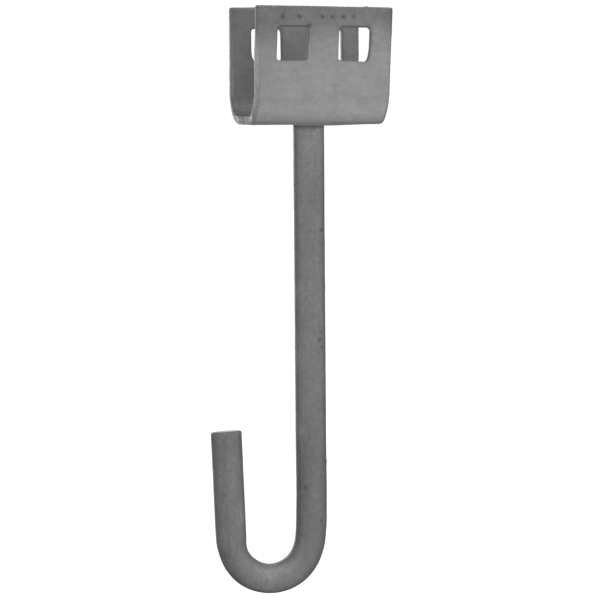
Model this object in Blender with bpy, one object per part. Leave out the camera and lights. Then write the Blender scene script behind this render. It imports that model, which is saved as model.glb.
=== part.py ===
"""Banded pole hook: a J-shaped round bar welded through the web of a folded channel bracket.

The bracket's two free edges bear on a pole. Steel bands run through the square slots in both
flanges and round the pole, and the hook carries a line or a clamp in its throat.

Frame: +Z points from the hook to the pole, +X runs along the bracket, and the hook's tip is on
the -X side. The origin is midway between the free edges, on the rod's axis. Units are metres.
"""
from math import cos, pi, radians, sin, sqrt

import bmesh
import bpy
from mathutils import Vector

MM = 0.001

# Bracket: one plate folded into a channel, web at the bottom, flanges up to the pole.
PLATE = 6.0 * MM
BRACKET_LENGTH = 89.0 * MM
BRACKET_HEIGHT = 76.0 * MM
BRACKET_DEPTH = 66.0 * MM
OUTER_BEND_RADIUS = 22.0 * MM
BEND_STEPS = 12

# Band slots: two in each flange, sized for 20 mm banding.
SLOT_WIDTH = 21.0 * MM
SLOT_HEIGHT = 21.2 * MM
SLOT_CENTRE_X = 20.3 * MM
SLOT_EDGE_MARGIN = 13.3 * MM
SLOT_TOP_CORNER = 1.8 * MM
SLOT_SHARP_CORNER = 0.8 * MM
SLOT_EASED_WIDTH = 2.6 * MM
SLOT_EASED_HEIGHT = 9.0 * MM
CORNER_STEPS = 6

# Hook: one bar, straight through the web, then bent back up into a J.
ROD_DIAMETER = 20.0 * MM
SHANK_LENGTH = 270.5 * MM
BEND_CENTRE_RADIUS = 27.25 * MM
LEG_LENGTH = 72.0 * MM
LEG_SPLAY = radians(2.4)
BEND_THINNING = 0.8 * MM
ROD_END_ROUND = 1.5 * MM
ROD_STUB = 5.5 * MM
ROD_SIDES = 36
HOOK_BEND_STEPS = 28

# Weld: one fillet round the rod's stub, inside the channel.
WELD_LEG = 5.0 * MM
WELD_SIDES = 48
WELD_TOE_STEPS = 4

JOINT_GAP = 0.3 * MM
CUT_MARGIN = 2.0 * MM

ROD_RADIUS = ROD_DIAMETER / 2
INNER_BEND_RADIUS = OUTER_BEND_RADIUS - PLATE
WEB_UNDERSIDE = -BRACKET_HEIGHT
WEB_TOP = WEB_UNDERSIDE + PLATE
SLOT_CENTRE_Z = -SLOT_EDGE_MARGIN - SLOT_HEIGHT / 2
BEND_CENTRE_Z = WEB_UNDERSIDE - SHANK_LENGTH
HOOK_SWEEP = pi - LEG_SPLAY


def clear_scene():
    """Remove whatever the scene holds."""
    for obj in list(bpy.data.objects):
        bpy.data.objects.remove(obj, do_unlink=True)


def steel(name, shade, roughness):
    """Zinc-coated steel of one grey."""
    material = bpy.data.materials.new(name)
    material.use_nodes = True
    shader = material.node_tree.nodes["Principled BSDF"]
    shader.inputs["Base Color"].default_value = (shade, shade, shade, 1.0)
    shader.inputs["Roughness"].default_value = roughness
    shader.inputs["Metallic"].default_value = 0.8
    return material


def mesh_object(name, mesh_data, material=None):
    """Turn a bmesh into a named object with its faces pointing out."""
    bmesh.ops.recalc_face_normals(mesh_data, faces=mesh_data.faces)
    mesh = bpy.data.meshes.new(name)
    mesh_data.to_mesh(mesh)
    mesh_data.free()
    obj = bpy.data.objects.new(name, mesh)
    bpy.context.scene.collection.objects.link(obj)
    if material:
        mesh.materials.append(material)
        mesh.shade_smooth()
        mesh.set_sharp_from_angle(angle=radians(32))
    return obj


def prism(outline, direction):
    """Extrude a flat outline of points along a direction."""
    shape = bmesh.new()
    face = shape.faces.new([shape.verts.new(point) for point in outline])
    extruded = bmesh.ops.extrude_face_region(shape, geom=[face])
    moved = [item for item in extruded["geom"] if isinstance(item, bmesh.types.BMVert)]
    bmesh.ops.translate(shape, vec=Vector(direction), verts=moved)
    return shape


def loft(rings, closed_path=False):
    """Skin a list of point rings; an open path gets a cap at both ends."""
    shape = bmesh.new()
    rows = [[shape.verts.new(point) for point in ring] for ring in rings]
    count = len(rows[0])
    pairs = list(zip(rows, rows[1:]))
    if closed_path:
        pairs.append((rows[-1], rows[0]))
    for lower, upper in pairs:
        for i in range(count):
            j = (i + 1) % count
            shape.faces.new((lower[i], lower[j], upper[j], upper[i]))
    if not closed_path:
        shape.faces.new(rows[0][::-1])
        shape.faces.new(rows[-1])
    return shape


def arc(centre, radius, start, end, steps):
    """Points (a, b) along an arc, both ends included; angles are in radians."""
    angles = [start + (end - start) * i / steps for i in range(steps + 1)]
    return [(centre[0] + radius * cos(t), centre[1] + radius * sin(t)) for t in angles]


def channel_section():
    """The bracket's U section as (y, z) points, outside first and then back along the inside."""
    bend_y = BRACKET_DEPTH / 2 - OUTER_BEND_RADIUS
    bend_z = WEB_UNDERSIDE + OUTER_BEND_RADIUS
    outer_y = BRACKET_DEPTH / 2
    inner_y = outer_y - PLATE
    points = [(-outer_y, 0.0)]
    points += arc((-bend_y, bend_z), OUTER_BEND_RADIUS, pi, 1.5 * pi, BEND_STEPS)
    points += arc((bend_y, bend_z), OUTER_BEND_RADIUS, 1.5 * pi, 2 * pi, BEND_STEPS)
    points += [(outer_y, 0.0), (inner_y, 0.0)]
    points += arc((bend_y, bend_z), INNER_BEND_RADIUS, 2 * pi, 1.5 * pi, BEND_STEPS)
    points += arc((-bend_y, bend_z), INNER_BEND_RADIUS, 1.5 * pi, pi, BEND_STEPS)
    points += [(-inner_y, 0.0)]
    return points


def slot_outline(eased_side):
    """A slot's outline as (x, z) round its centre; its lower corner on eased_side is drawn out."""
    points = []
    for side_x, side_z, quarter in ((1, 1, 0), (-1, 1, 1), (-1, -1, 2), (1, -1, 3)):
        if side_z > 0:
            width = height = SLOT_TOP_CORNER
        elif side_x == eased_side:
            width, height = SLOT_EASED_WIDTH, SLOT_EASED_HEIGHT
        else:
            width = height = SLOT_SHARP_CORNER
        centre_x = side_x * (SLOT_WIDTH / 2 - width)
        centre_z = side_z * (SLOT_HEIGHT / 2 - height)
        for a, b in arc((0, 0), 1.0, 0.5 * pi * quarter, 0.5 * pi * (quarter + 1), CORNER_STEPS):
            points.append((centre_x + width * a, centre_z + height * b))
    return points


def cut(target, name, cutter_shape):
    """Subtract a cutter from the target with an exact Boolean."""
    cutter = mesh_object(name, cutter_shape)
    cutter.hide_render = True
    cutter.display_type = "WIRE"
    boolean = target.modifiers.new(name, "BOOLEAN")
    boolean.operation = "DIFFERENCE"
    boolean.solver = "EXACT"
    boolean.object = cutter


def make_bracket(material):
    """Folded channel with two band slots in each flange and the rod's hole in its web."""
    start_x = -BRACKET_LENGTH / 2
    outline = [(start_x, y, z) for y, z in channel_section()]
    bracket = mesh_object("channel_bracket", prism(outline, (BRACKET_LENGTH, 0, 0)), material)

    cut_depth = PLATE + 2 * CUT_MARGIN
    for side, flange in ((-1, "near"), (1, "far")):
        start_y = side * (BRACKET_DEPTH / 2 + CUT_MARGIN)
        for slot_x, place in ((-SLOT_CENTRE_X, "left"), (SLOT_CENTRE_X, "right")):
            outline = [(slot_x + x, start_y, SLOT_CENTRE_Z + z) for x, z in slot_outline(-side)]
            cut(bracket, f"cut_{flange}_{place}", prism(outline, (0, -side * cut_depth, 0)))

    hole_radius = ROD_RADIUS + JOINT_GAP
    hole = arc((0, 0), hole_radius, 0, 2 * pi * (1 - 1 / ROD_SIDES), ROD_SIDES - 1)
    outline = [(x, y, WEB_UNDERSIDE - CUT_MARGIN) for x, y in hole]
    cut(bracket, "cut_rod_hole", prism(outline, (0, 0, PLATE + 2 * CUT_MARGIN)))
    return bracket


def rod_stations():
    """Yield (centre, outward, across_half, out_half) along the rod, from its stub to its tip.

    outward points away from the hook's bend centre, in the hook's plane. The bar is forged a
    little thinner round the outside of the bend.
    """
    top = WEB_TOP + ROD_STUB
    sideways = Vector((1, 0, 0))
    for i in range(3):
        turn = 0.5 * pi * i / 2
        radius = ROD_RADIUS - ROD_END_ROUND * (1 - sin(turn))
        yield Vector((0, 0, top - ROD_END_ROUND * (1 - cos(turn)))), sideways, radius, radius

    bend_centre = Vector((-BEND_CENTRE_RADIUS, 0, BEND_CENTRE_Z))
    for i in range(HOOK_BEND_STEPS + 1):
        turn = HOOK_SWEEP * i / HOOK_BEND_STEPS
        outward = Vector((cos(turn), 0, -sin(turn)))
        thinning = BEND_THINNING * sin(pi * i / HOOK_BEND_STEPS)
        centre = bend_centre + outward * (BEND_CENTRE_RADIUS - thinning / 2)
        yield centre, outward, ROD_RADIUS, ROD_RADIUS - thinning / 2

    outward = Vector((cos(HOOK_SWEEP), 0, -sin(HOOK_SWEEP)))
    along = Vector((-sin(HOOK_SWEEP), 0, -cos(HOOK_SWEEP)))
    leg_start = bend_centre + outward * BEND_CENTRE_RADIUS
    for i in range(3):
        turn = 0.5 * pi * (1 - i / 2)
        radius = ROD_RADIUS - ROD_END_ROUND * (1 - sin(turn))
        reach = LEG_LENGTH - ROD_END_ROUND * (1 - cos(turn))
        yield leg_start + along * reach, outward, radius, radius


def make_rod(material):
    """Round bar swept along the J, with rounded ends."""
    across = Vector((0, 1, 0))
    rings = []
    for centre, outward, across_half, out_half in rod_stations():
        angles = [2 * pi * k / ROD_SIDES for k in range(ROD_SIDES)]
        rings.append([centre + outward * out_half * cos(t) + across * across_half * sin(t)
                      for t in angles])
    return mesh_object("hook_rod", loft(rings), material)


def inner_surface_z(y):
    """Height of the channel's inside surface: flat along the web, then rising with the bends."""
    into_bend = max(0.0, abs(y) - (BRACKET_DEPTH / 2 - OUTER_BEND_RADIUS))
    return WEB_TOP + INNER_BEND_RADIUS - sqrt(INNER_BEND_RADIUS**2 - into_bend**2)


def make_weld(material):
    """Fillet of weld metal round the rod's stub, lying on the channel's inside surface."""
    inner = ROD_RADIUS + JOINT_GAP
    profile = [(inner, JOINT_GAP)]
    bulge = arc((0, 0), WELD_LEG, 0, 0.5 * pi, WELD_TOE_STEPS)
    profile += [(inner + out, JOINT_GAP + up) for out, up in bulge]
    rings = []
    for i in range(WELD_SIDES):
        turn = 2 * pi * i / WELD_SIDES
        ring = []
        for radius, up in profile:
            y = radius * sin(turn)
            ring.append((radius * cos(turn), y, inner_surface_z(y) + up))
        rings.append(ring)
    return mesh_object("weld_bead", loft(rings, closed_path=True), material)


def main():
    clear_scene()
    make_bracket(steel("zinc_on_plate", 0.27, 0.55))
    make_rod(steel("zinc_on_bar", 0.19, 0.5))
    make_weld(steel("zinc_on_weld", 0.22, 0.65))


main()
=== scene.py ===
"""Looks of the banded pole hook: a galvanised channel bracket with a J-hook bar welded in.

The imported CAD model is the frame. Each of its three nodes is replaced by a finely meshed piece
with the marks of how it is made: the bracket is punched flat and then folded, the bar is sheared
and bent, the weld is laid in ripples, and all of it is dipped in zinc.
"""
from math import cos, pi, radians, sin, sqrt

import bmesh
import bpy
import numpy as np
from mathutils import Matrix, Vector, noise


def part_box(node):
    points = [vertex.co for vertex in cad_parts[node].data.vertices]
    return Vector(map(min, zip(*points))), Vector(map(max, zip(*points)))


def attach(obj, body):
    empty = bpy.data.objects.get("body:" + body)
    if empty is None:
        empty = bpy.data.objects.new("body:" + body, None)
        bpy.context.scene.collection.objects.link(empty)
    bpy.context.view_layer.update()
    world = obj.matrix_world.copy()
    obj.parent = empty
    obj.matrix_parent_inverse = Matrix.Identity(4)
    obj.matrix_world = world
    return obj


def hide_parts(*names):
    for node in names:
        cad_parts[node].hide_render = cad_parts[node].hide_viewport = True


MM = 0.001

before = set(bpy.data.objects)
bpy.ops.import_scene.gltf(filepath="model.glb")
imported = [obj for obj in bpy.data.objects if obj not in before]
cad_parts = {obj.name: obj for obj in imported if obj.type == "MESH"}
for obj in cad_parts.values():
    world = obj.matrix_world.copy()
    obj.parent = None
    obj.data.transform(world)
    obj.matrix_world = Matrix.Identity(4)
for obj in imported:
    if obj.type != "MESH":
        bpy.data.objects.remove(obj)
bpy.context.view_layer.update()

# ---------------- dimensions, as the CAD has them
PLATE = 6.0 * MM
OUTER_BEND_RADIUS = 22.0 * MM
SLOT_WIDTH = 21.0 * MM
SLOT_HEIGHT = 21.2 * MM
SLOT_CENTRE_X = 20.3 * MM
SLOT_EDGE_MARGIN = 13.3 * MM
SLOT_TOP_CORNER = 1.8 * MM
SLOT_ROUND_WIDTH = 2.8 * MM
SLOT_ROUND_HEIGHT = 3.6 * MM
SLOT_EASED_WIDTH = 2.6 * MM
SLOT_EASED_HEIGHT = 9.0 * MM
ROD_RADIUS = 10.0 * MM
BEND_CENTRE_RADIUS = 27.25 * MM
LEG_LENGTH = 72.0 * MM
LEG_SPLAY = radians(2.4)
BEND_THINNING = 0.8 * MM
ROD_END_ROUND = 1.5 * MM
WELD_LEG = 5.0 * MM
JOINT_GAP = 0.3 * MM

bracket_low, bracket_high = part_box("channel_bracket")
rod_low, rod_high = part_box("hook_rod")
BRACKET_LENGTH = bracket_high.x - bracket_low.x
BRACKET_DEPTH = bracket_high.y - bracket_low.y
BRACKET_HEIGHT = bracket_high.z - bracket_low.z
WEB_UNDERSIDE = bracket_low.z
WEB_TOP = WEB_UNDERSIDE + PLATE
INNER_BEND_RADIUS = OUTER_BEND_RADIUS - PLATE
ROD_TOP = rod_high.z
BEND_CENTRE_Z = rod_low.z + BEND_CENTRE_RADIUS + ROD_RADIUS - BEND_THINNING
HOOK_SWEEP = pi - LEG_SPLAY

# The flat blank: x along the bracket, s across the fold lines, h out of the outer face.
# s is negative towards the near flange, at -Y, and positive towards the far one.
HALF_LENGTH = BRACKET_LENGTH / 2
WEB_HALF_FLAT = BRACKET_DEPTH / 2 - OUTER_BEND_RADIUS
NEUTRAL_RADIUS = OUTER_BEND_RADIUS - PLATE / 2
FOLD_LENGTH = NEUTRAL_RADIUS * pi / 2
FLANGE_FLAT = BRACKET_HEIGHT - OUTER_BEND_RADIUS
BLANK_HALF = WEB_HALF_FLAT + FOLD_LENGTH + FLANGE_FLAT

SLOT_CENTRE_Z = -SLOT_EDGE_MARGIN - SLOT_HEIGHT / 2

# ---------------- marks of making
# How the pairs and triples below read, here and where the zinc is marked:
# - a REACH is where a mark starts and where it is full, in from an end or a free edge;
# - a DEPTH pair is the same below the free edges, and an UP_FOLD or UP_FLANGE pair runs from 0
#   at the fold's or the flange's lower end to 1 at its upper end;
# - three numbers are a hump: its height, where its top is, and how far it spreads.
SLOT_ROLL_DEPTH = 0.35 * MM
SLOT_ROLL_WIDTH = 0.7 * MM
SOFT_ROLL_DEPTH = 1.3 * MM
SOFT_ROLL_WIDTH = 1.7 * MM
SOFT_ROLL_INSET = 1.5 * MM
SOFT_ROLL_OUTSET = 0.5 * MM
# The tear runs from start to end, both as (x, s) from the slot's corner.
TEAR_START = (-0.5 * MM, -0.8 * MM)
TEAR_END = (1.3 * MM, 0.8 * MM)
TEAR_RADIUS = 0.7 * MM
TEAR_DEPTH = 0.9 * MM
PUNCH_DOTS_X = (-27.5 * MM, -16.3 * MM, -1.0 * MM, 5.6 * MM, 12.3 * MM, 19.0 * MM)
PUNCH_DOTS_Z = -6.8 * MM
PUNCH_RADIUS = 1.4 * MM
PUNCH_DEPTH = 0.7 * MM
# The rim raised round a dot, by the dot's depth and radius.
PUNCH_RIM = (-0.15 * PUNCH_DEPTH, 1.25, 0.25)
FOLD_BULGE = 0.3 * MM
FOLD_BULGE_REACH = (10 * MM, 0)
SHEAR_ROUGHNESS = 0.2 * MM
SHEAR_REACH = (0.7 * MM, 0.2 * MM)
SHEAR_GROOVE_SIZE = 2.2 * MM
# The grooves are close along the cut, and long through the plate.
SHEAR_GROOVES_ALONG = 3.0
SHEAR_GROOVES_THROUGH = 0.6
SHEAR_OCTAVES = 2
# The noise's seed and layer for each kind of cut.
END_SHEAR = (5, 5 * MM)
EDGE_SHEAR = (6, 9 * MM)
EDGE_LUMP = (0.45 * MM, 27.5 * MM, 0.9 * MM)
TIP_SLANT = 1.7 * MM
TIP_SLANT_UP_LEG = (0.85, 1.0)

# ---------------- out of square, as it was made
NEAR_END_FLARE = 2.3 * MM
FLARE_START = -0.25 * HALF_LENGTH
FAR_END_SHORT = 1.3 * MM
RIGHT_END_REACH = (0.25 * HALF_LENGTH, 0)
LEFT_END_REACH = (0.2 * HALF_LENGTH, 0)
NEAR_EDGE_RISE = 0.45 * MM
NEAR_EDGE_FALL = 0.85 * MM
NEAR_EDGE_UP_FLANGE = (0.75, 1.0)
FAR_LEFT_OVER = 0.55 * MM
FAR_FOLD_OVER = (0.8 * MM, 0.1, 0.6)
NEAR_FOLD_OVER = (0.9 * MM, 0.1, 0.35)
FAR_EDGE_RISE = 0.35 * MM
FAR_EDGE_REACH = (10 * MM, 0)
INNER_END_LEAN = 0.85 * MM
LEAN_UP_FOLD = (0, 0.6)
LEAN_UP_FLANGE = (0.35, 0.85)
SLOT_TAPER = 0.8 * MM
SLOT_TAPER_WIDTH = 1.6 * MM
SLOT_TAPER_FADE = 1.0 * MM
WEB_BOW = (0.75 * MM, 9 * MM, 21 * MM)
WEB_BOW_UP_FOLD = (0, 0.5)
BAR_OFFSET = -0.5 * MM
BAR_SWAY = 0.4 * MM
BAR_LEAN_RISE = (0, 0.2)
BAR_BULGE = (0.33 * MM, BEND_CENTRE_Z + 28 * MM, 20 * MM)

# The bend's faults, placed by their turn round it from the shank: the whole bar is pressed in at
# the kink, both its sides swell or shrink at the full and the flat part, and only its outside
# does so at the last two.
BEND_KINK = (0.62 * MM, radians(15), radians(22))
FULL_PART = (0.27 * MM, radians(60), radians(25))
FLAT_PART = (0.54 * MM, radians(157), radians(22))
OUTER_SWELL = (0.33 * MM, radians(-14), radians(12))
OUTER_DENT = (0.22 * MM, radians(164), radians(9))
BEND_FAULT_DROP = (-12 * MM, 8 * MM)

# How much of the drawn-out lower corner and of the round upper corner each slot has; a slot is
# (side, x sign), with side -1 near and 1 far.
SLOT_EASE = {(-1, -1): 0.35, (-1, 1): 1.0, (1, -1): 0.85, (1, 1): 1.0}
SLOT_ROUNDING = {(-1, -1): 0.0, (-1, 1): 0.6, (1, -1): 0.7, (1, 1): 0.7}

# How far the punch left a slot's corners off, by side and slot; a corner is (x sign, up sign).
SLOT_CORNER_SHIFTS = {
    (-1, -1): {(-1, 1): (0.55 * MM, 0), (-1, -1): (-0.5 * MM, 0),
               (1, 1): (0.5 * MM, 0), (1, -1): (-0.9 * MM, 0)},
    (-1, 1): {(-1, 1): (0.4 * MM, -0.4 * MM), (-1, -1): (-0.2 * MM, 0),
              (1, 1): (-0.1 * MM, -0.5 * MM), (1, -1): (-0.5 * MM, -1.3 * MM)},
    (1, -1): {(-1, 1): (0, -0.5 * MM), (1, 1): (-0.7 * MM, -0.5 * MM), (1, -1): (-0.2 * MM, 0)},
    (1, 1): {(-1, 1): (0, -0.4 * MM), (1, 1): (0.8 * MM, -0.4 * MM), (1, -1): (0.8 * MM, 0)},
}

# Small dents in the bar: depth below the web, turn about the bar from the front, radius.
ROD_DENTS = ((68.5 * MM, 34, 1.2 * MM), (39 * MM, -86, 1.2 * MM), (135 * MM, 27, 0.7 * MM),
             (140 * MM, 22, 1.2 * MM), (145 * MM, 30, 0.7 * MM), (237 * MM, -38, 0.8 * MM),
             (259 * MM, 26, 0.8 * MM))

# Rubbed, lighter spots on the bar, and beads of zinc on it, placed in the same way.
ROD_RUBS = ((107 * MM, -72, 5 * MM), (153 * MM, -72, 5 * MM), (200 * MM, -60, 4 * MM))
ROD_BEADS = ((75 * MM, 62, 0.7 * MM), (78 * MM, 66, 0.7 * MM), (221 * MM, 71, 0.9 * MM))
# A dent's depth and a bead's height, by its radius.
DENT_DEPTH = 0.3
BEAD_HEIGHT = 0.5

# Bright scratches on the channel's left cut end: start and end as (s, h) on the blank.
END_SCRATCHES = (((13.5 * MM, -2.2 * MM), (12.5 * MM, -1.0 * MM)),
                 ((9.5 * MM, -0.6 * MM), (12.5 * MM, 1.6 * MM)),
                 ((-12.5 * MM, -2.6 * MM), (-13.5 * MM, -1.8 * MM)),
                 ((-17.0 * MM, -2.4 * MM), (-18.0 * MM, -0.6 * MM)),
                 ((-20.5 * MM, -0.2 * MM), (-19.0 * MM, 1.8 * MM)))
SCRATCH_WIDTH = 0.8 * MM

# ---------------- zinc: its shape
# Waves are layers of smooth noise: size, height, seed and octaves.
ZINC_COAT = 0.1 * MM
BRACKET_WAVES = ((22 * MM, 0.10 * MM, 1, 1), (4.5 * MM, 0.03 * MM, 2, 2))
ROD_WAVES = ((16 * MM, 0.06 * MM, 3, 1), (3.5 * MM, 0.03 * MM, 4, 2))

# Small beads scattered over it: how many, the seed, and the ranges of their radius and height.
BRACKET_LUMPS = 46
BRACKET_LUMP_SEED = 11
BRACKET_LUMP_RADIUS = (0.6 * MM, 1.3 * MM)
BRACKET_LUMP_HEIGHT = (0.06 * MM, 0.16 * MM)
ROD_LUMPS = 60
ROD_LUMP_SEED = 23
ROD_LUMP_RADIUS = (0.5 * MM, 1.1 * MM)
ROD_LUMP_HEIGHT = (0.05 * MM, 0.13 * MM)
ROD_LUMP_STRETCH = (1.0, 1.0, 4.0)

# ---------------- zinc: where it is marked
# A single number is how strong a mark is, where 1 is its full strength.
# Darker marks: painted shade along the slots' upper edges, at the right end and under the near
# fold's left end, a painted shadow line up that fold's end, and a painted contact shadow on the
# bar under the web; also darker round the torn slot corner, in the punch dots and in the bar's
# dents:
SLOT_EDGE_SHADE = (0.7, 0.2 * MM, 0.7 * MM)
SLOT_EDGE_SHADE_INSET = 2 * MM
TEAR_DARK_X = 0.3 * MM
TEAR_DARK_UP = 0.6 * MM
TEAR_DARK_RADIUS = 1.6 * MM
END_SHADE = 0.6
RIGHT_SHADE_REACH = (1.6 * MM, 0.6 * MM)
LEFT_SHADE_REACH = (12 * MM, 1.5 * MM)
LEFT_SHADE_UP_FOLD = (0, 0.4)
END_SHADOW_LINE = 0.4
END_SHADOW_LINE_REACH = (2.0 * MM, 0.8 * MM)
END_SHADOW_LINE_UP_FOLD = (1.0, 1.3)
JOINT_SHADOW = (0.9, WEB_UNDERSIDE - 1.3 * MM, 1.4 * MM)
DENT_DARK_SPREAD = 0.6

# Painted shade: a band along the outer free edges, deeper on the left by its slope along x, with
# more low and high on the left and near the right end; the channel's inside, more towards its
# ends and its bottom; and the bar's underside. The bar is also darker low on its shank and
# towards its tip:
SHADE_BAND_DEPTH = 34 * MM
SHADE_BAND_SLOPE = 0.33
SHADE_BAND_START = 0.15
SHADE_INSIDE = 0.43
SHADE_INSIDE_ENDS = 0.65
SHADE_ENDS_FADE = 0.8
SHADE_ENDS_DEPTH = (0, 70 * MM)
SHADE_BOTTOM = 0.9
SHADE_BOTTOM_DEPTH = (50 * MM, 63 * MM)
SHADE_LEFT_LOW = 0.12
SHADE_LEFT_LOW_DEPTH = (32 * MM, 42 * MM)
SHADE_LEFT_TOP = 0.2
SHADE_LEFT_TOP_DEPTH = (6 * MM, 20 * MM)
SHADE_RIGHT = (0.7, 13 * MM, 10 * MM)
SHADE_RIGHT_REACH = (12 * MM, 1 * MM)
DARKER_UP_LEG = 0.22
DARKER_UP_LEG_RISE = (0.5, 0.95)
DARKER_SHANK = (0.25, BEND_CENTRE_Z + 38 * MM, 42 * MM)
SHADE_UNDERSIDE = 0.9
SHADE_UNDERSIDE_OUT = (0.45, 1.0)
SHADE_UNDERSIDE_DROP = (14 * MM, 34 * MM)

# Painted shade in the slots' walls and the cut ends' walls; cut metal bright and flecked at the
# ends and edge corners, with painted highlight flecks along the near flange's free edge:
CUT_FACE_REACH = (1.0 * MM, 0.4 * MM)
SLOT_SURROUND = 2.5 * MM
FAR_SLOT_WALL_SHADE = 0.75
NEAR_SLOT_WALL_SHADE_OUTSIDE = 0.25
NEAR_SLOT_WALL_SHADE_INSIDE = 1.1
CUT_END_WALL_SHADE = 0.25
STRIP_TOP = (14 * MM, 26 * MM)
STRIP_BOTTOM = (58 * MM, 76 * MM)
STRIP_BARE = 0.45
CORNER_BARE = (0.25, 0.2, 0.22)
WEB_BARE = 0.15
WEB_BARE_UP_FOLD = (-0.1, 0.3)
SCRATCH_BARE = 1.5
EDGE_HIGHLIGHT = 0.45
EDGE_HIGHLIGHT_REACH = (1.2 * MM, 0.6 * MM)
FLECKS_LEFT = 14 * MM
FLECKS_RIGHT = 8 * MM

# Polished zinc on the folds' skin and where the bar is rubbed; wear and painted light in the
# hook's bottom, more painted light on its inside, and lighter zinc just under the web; a turn
# goes round the bend as above:
FOLD_POLISH_START = (0.18, 0.34)
FOLD_POLISH_END = (0.15, 0.5)
SADDLE_TURN = pi / 2 + 0.22
SADDLE_SPREAD = 0.75
SADDLE_DROP = (0, 8 * MM)
SADDLE_WEAR_AND_LIGHT = 0.58
SADDLE_INSIDE_LIGHT = 1.0
SADDLE_INSIDE = (-0.2, 1.0)
LEG_RUB_TURN = radians(30)
LEG_RUB_HEIGHT = 18 * MM
LEG_RUB_SPREAD = (3 * MM, 3 * MM, 8 * MM)
TOP_LIGHTER_SPREAD = 24 * MM
BEAD_POLISH = 2.0

# Painted highlights on edges; the scale is how far a sharp edge stands out from its neighbours'
# mean:
RIDGE_SCALE = 0.12 * MM
WALL_SLOPE = (0.2, 0.7)
SLOT_RIDGE_LOSS = 0.85
CUT_END_RIDGE_GAIN = 0.8
CUT_END_REACH = 2 * MM

# ---------------- mesh detail
BRACKET_VOXEL = 0.62 * MM
EDGE_SMOOTH_PASSES = 6
REMESH_ROUNDING = 0.7 * MM
OVERCUT = 0.4 * MM
OVERCUT_REACH = 1.2 * MM
CUT_MARGIN = 2.0 * MM
CORNER_STEPS = 10
HOLE_SIDES = 96
ROD_SIDES = 72
ROD_STEP = 0.9 * MM
END_STEPS = 8
END_RINGS = 12
WELD_SIDES = 240
WELD_STEPS = 12
WELD_RIPPLES = 30
WELD_RIPPLE_HEIGHT = 0.35 * MM

# ---------------- camera and light
CAMERA_YAW = radians(17.047)
CAMERA_DISTANCE = 1.8272
CAMERA_HEIGHT = WEB_UNDERSIDE + 32 * MM
CAMERA_PITCH = radians(4.591)
CAMERA_PAN = radians(-0.205)
CAMERA_ROLL = radians(-0.255)
CAMERA_LENS = 168.06
SENSOR_WIDTH = 36.0

FLOOR_HALF = 12.0
FLOOR_DROP = 0.35
FLOOR_TONE = 0.9
FLOOR_ROUGHNESS = 0.9
ROOM_LIGHT = 0.125
WHITE_OUT = 1.05

# Soft boxes, all aimed at the hook's middle: name, bearing from the front towards +X and rise
# in degrees, distance and size in metres, power in watts.
LIGHT_TARGET_Z = -0.19
SOFT_BOXES = (("left", -75, 0, 0.7, 0.35, 1.0),
              ("front", -15, 0, 0.7, 0.35, 0.75),
              ("right", 45, 0, 0.7, 0.35, 0.7),
              ("far_right", 75, 0, 0.7, 0.35, 0.4),
              ("low_front", 0, -35, 0.7, 0.35, 0.4),
              ("low_right", 40, -35, 0.7, 0.35, 0.4),
              ("high_left", -40, 35, 0.7, 0.35, 0.7),
              ("high_right", 40, 35, 0.7, 0.35, 0.45),
              ("back", 180, 0, 1.3, 0.9, 13.0),
              ("over", 0, 80, 1.3, 0.9, 6.0),
              ("under", 0, -80, 1.3, 0.9, 1.9))

# ---------------- zinc: its look
# Each finish has its tone, its roughness and the size of its faint streaks along x, y and z.
PLATE_ZINC = (0.40, 0.6, (14 * MM, 4 * MM, 2.5 * MM))
BAR_ZINC = (0.233, 0.6, (2.5 * MM, 2.5 * MM, 25 * MM))
WELD_ZINC = (0.233, 0.65, (2 * MM, 2 * MM, 2 * MM))
METALLIC = 0.5

# Patterns are the size of their patches, their detail, and how far they stray from the mean.
DETAIL = 2.0
TONE_PATCHES = (13 * MM, 3.0, 0.06)
MOTTLING = ((3.2 * MM, DETAIL, 0.045), (1.5 * MM, DETAIL, 0.035), (0.8 * MM, 1.0, 0.05))
STREAK_STRAY = 0.045
ROUGHNESS_PATCHES = (5 * MM, DETAIL, 0.05)
GRAIN_SIZE = 0.6 * MM
GRAIN_HEIGHT = 0.04 * MM
GRAIN_STRENGTH = 0.3

# Each mark's factor on the tone, then its patches' size and their least and most strength.
# Painted highlights light the edges that stand out and flecks of the free edge, painted shade
# darkens the hollows, the walls and the shaded zones, and painted light brightens the hook's
# bottom.
MARKS = {"ridge_highlight": (1.55, 2.2 * MM, 0.0, 2.0),
         "hollow_shade": (0.7, 1.3 * MM, 0.6, 1.4),
         "stain_and_shade": (0.5, 1.3 * MM, 0.85, 1.15),
         "wall_shade": (0.48, 1.3 * MM, 0.6, 1.4),
         "bare_and_highlight": (2.1, 0.7 * MM, 0.0, 2.0),
         "polish_and_painted_light": (1.3, 3 * MM, 0.75, 1.25),
         "painted_shade": (0.64, 0.8 * MM, 0.55, 1.45)}


# ================ shapes
def arc(centre, radius, start, end, steps):
    """Points (a, b) along an arc, both ends included."""
    angles = [start + (end - start) * i / steps for i in range(steps + 1)]
    return [(centre[0] + radius * cos(t), centre[1] + radius * sin(t)) for t in angles]


def new_object(name, mesh_data):
    """A smooth-shaded object from a bmesh."""
    bmesh.ops.recalc_face_normals(mesh_data, faces=mesh_data.faces)
    mesh = bpy.data.meshes.new(name)
    mesh_data.to_mesh(mesh)
    mesh_data.free()
    mesh.shade_smooth()
    obj = bpy.data.objects.new(name, mesh)
    bpy.context.scene.collection.objects.link(obj)
    return obj


def prism(outline, direction):
    """Extrude a flat outline of points along a direction."""
    shape = bmesh.new()
    face = shape.faces.new([shape.verts.new(point) for point in outline])
    extruded = bmesh.ops.extrude_face_region(shape, geom=[face])
    moved = [item for item in extruded["geom"] if isinstance(item, bmesh.types.BMVert)]
    bmesh.ops.translate(shape, vec=Vector(direction), verts=moved)
    return shape


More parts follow.
